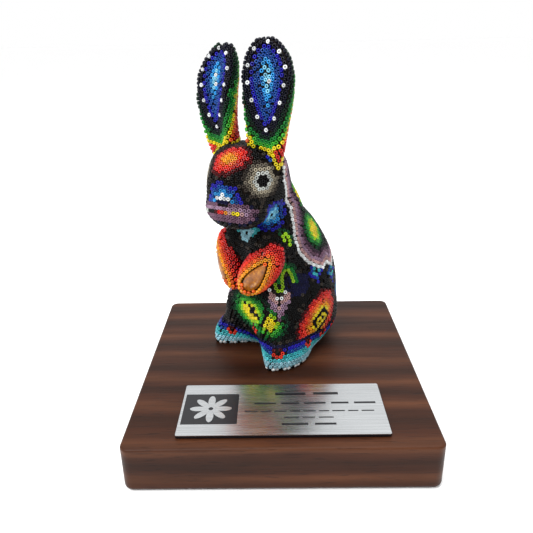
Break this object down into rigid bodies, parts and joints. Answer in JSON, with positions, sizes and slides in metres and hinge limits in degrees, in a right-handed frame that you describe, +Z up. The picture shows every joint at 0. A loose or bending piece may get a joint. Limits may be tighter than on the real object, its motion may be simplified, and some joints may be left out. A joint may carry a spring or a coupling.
{
  "type": "huichol beaded figure",
  "caption": "Sitting rabbit carved in wood and covered in glass seed beads set in wax, on a square wooden plinth with an engraved plaque.",
  "frame": {"origin": "centre of the plinth's underside", "axes": "+Z up through the ears, -Y towards the plaque's edge, +X to the right of someone reading the plaque"},
  "size_m": [0.149, 0.151, 0.1958],
  "materials": {
    "plinth_wood": "satin dark hardwood",
    "tape": "foam tape",
    "plaque_black": "black core ply",
    "plaque_silver": "brushed silver, engraved",
    "screw_steel": "zinc plated",
    "carved_wood": "carved, bare",
    "dowel_wood": "turned, bare",
    "wax": "dark wax and resin",
    "foot_band_glass": "glossy opaque beads",
    "body_glass": "glossy opaque beads",
    "cape_glass": "glossy opaque beads",
    "head_glass": "glossy opaque beads",
    "ear_glass": "glossy opaque beads",
    "forepaw_glass": "glossy opaque beads"
  },
  "bodies": {
    "root": {"plinth_board": "plinth_wood", "plaque_tape": "tape", "plaque_core": "plaque_black", "plaque_face": "plaque_silver", "figure_screw_front": "screw_steel", "figure_screw_rear": "screw_steel", "figure_core": "carved_wood", "ear_core_left": "carved_wood", "ear_core_right": "carved_wood", "ear_dowel_left": "dowel_wood", "ear_dowel_right": "dowel_wood", "forepaw_core_left": "carved_wood", "forepaw_core_right": "carved_wood", "figure_wax": "wax", "ear_wax_left": "wax", "ear_wax_right": "wax", "forepaw_wax_left": "wax", "forepaw_wax_right": "wax", "foot_band_beads": "foot_band_glass", "torso_beads_left": "body_glass", "torso_beads_right": "body_glass", "cape_beads": "cape_glass", "head_beads": "head_glass", "ear_beads_left": "ear_glass", "ear_beads_right": "ear_glass", "forepaw_beads_left": "forepaw_glass", "forepaw_beads_right": "forepaw_glass"}
  },
  "joints": []
}
